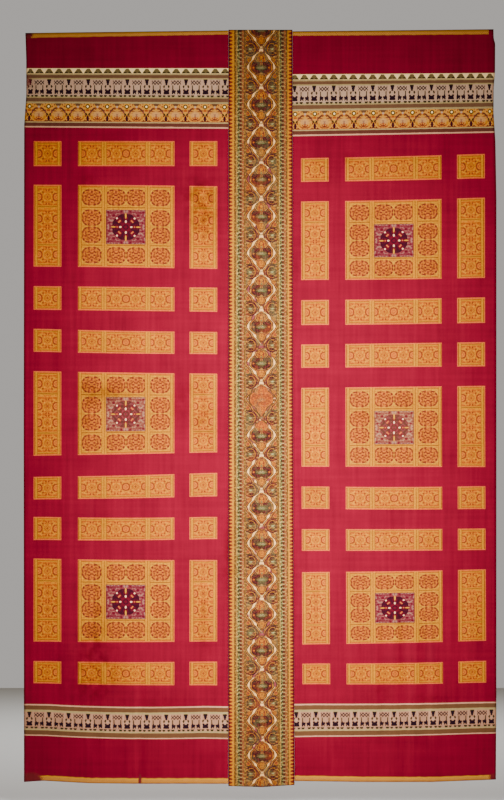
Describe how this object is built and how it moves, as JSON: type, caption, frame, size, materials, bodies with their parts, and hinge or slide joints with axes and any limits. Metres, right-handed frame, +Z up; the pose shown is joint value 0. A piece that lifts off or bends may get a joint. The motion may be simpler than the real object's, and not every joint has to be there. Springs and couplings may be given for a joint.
{
  "type": "silk curtain",
  "caption": "Tall silk curtain hung flat from its top edge: crimson panels with gold woven blocks and border bands, joined by a narrow patterned centre strip.",
  "frame": {"origin": "middle of the top edge of the centre strip, in the plane of the cloth", "axes": "+Z up along the hanging length, +X to the viewer's right across the width, and the patterned front faces -Y"},
  "size_m": [2.733, 0.0204, 4.3798],
  "materials": {
    "crimson_silk": "fine silk with a soft sheen, woven with gold blocks and bands",
    "patterned_silk": "fine patterned silk in gold, cream, brown and dark green"
  },
  "bodies": {
    "root": {"panel_left": "crimson_silk", "centre_strip": "patterned_silk", "panel_right": "crimson_silk"}
  },
  "joints": []
}
